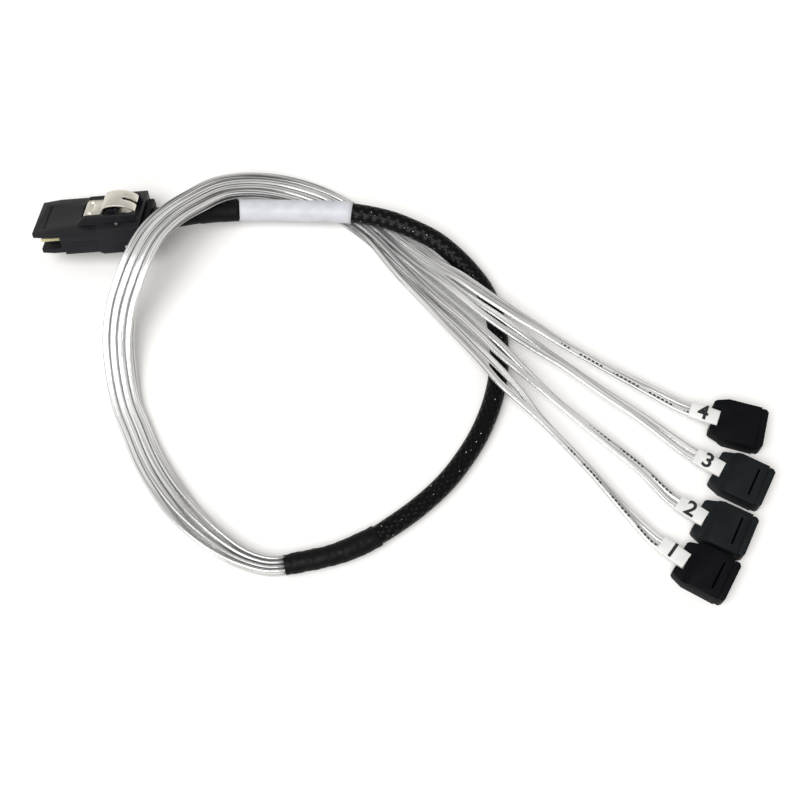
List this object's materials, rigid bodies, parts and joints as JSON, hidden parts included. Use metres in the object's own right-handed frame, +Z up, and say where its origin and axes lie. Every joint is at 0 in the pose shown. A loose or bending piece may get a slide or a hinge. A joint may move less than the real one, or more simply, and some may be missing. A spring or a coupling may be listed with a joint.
{
  "type": "mini SAS breakout cable",
  "caption": "Breakout cable: a flat black plug with a steel press latch, a braided trunk, and flat silver strips fanning out to slim black drive plugs.",
  "frame": {"origin": "on the bench, under the middle of the box round the plugs", "axes": "+X from the latched host plug towards the drive plugs, +Y across the bench to the side where the host plug lies, +Z up"},
  "size_m": [0.2418, 0.154, 0.0234],
  "materials": {
    "black_plastic": "fine matte moulding",
    "stainless": "satin spring steel",
    "circuit_board": "pale laminate",
    "gold": "plated",
    "grey_potting": "cast",
    "heat_shrink": "satin, slightly wrinkled",
    "label_paper": "smooth white vinyl paper",
    "black_braid": "fine open braid",
    "foil_strip": "silver foil under clear jacket"
  },
  "bodies": {
    "cable": {"upper_shell": "black_plastic", "lower_shell": "black_plastic", "latch_anchor_leaf": "stainless", "paddle_card": "circuit_board", "card_pads_top": "gold", "card_pads_bottom": "gold", "shell_pin_left": "stainless", "shell_pin_right": "stainless", "lead_grip_block": "grey_potting", "plug_collar": "black_plastic", "tail_heat_shrink": "heat_shrink", "wrap_label": "label_paper", "braided_sleeve": "black_braid", "end_heat_shrink_outer": "heat_shrink", "end_heat_shrink_inner": "heat_shrink", "lead_strip_4a": "foil_strip", "lead_strip_4b": "foil_strip", "lead_strip_3a": "foil_strip", "lead_strip_3b": "foil_strip", "lead_strip_2a": "foil_strip", "lead_strip_2b": "foil_strip", "lead_strip_1a": "foil_strip", "lead_strip_1b": "foil_strip", "drive_housing_4": "black_plastic", "drive_overmould_4": "black_plastic", "drive_contacts_4": "gold", "number_flag_4": "label_paper", "drive_housing_3": "black_plastic", "drive_overmould_3": "black_plastic", "drive_contacts_3": "gold", "number_flag_3": "label_paper", "drive_housing_2": "black_plastic", "drive_overmould_2": "black_plastic", "drive_contacts_2": "gold", "number_flag_2": "label_paper", "drive_housing_1": "black_plastic", "drive_overmould_1": "black_plastic", "drive_contacts_1": "gold", "number_flag_1": "label_paper"},
    "latch": {"latch": "stainless"}
  },
  "joints": [
    {"name": "latch_press", "type": "hinge", "parent": "cable", "child": "latch", "pos_m": [-0.10408, 0.06043, 0.01338], "axis": [-0.0084, 0.8977, -0.4404], "range_deg": [0, 4], "stiffness_Nm_per_rad": 1.5}
  ]
}
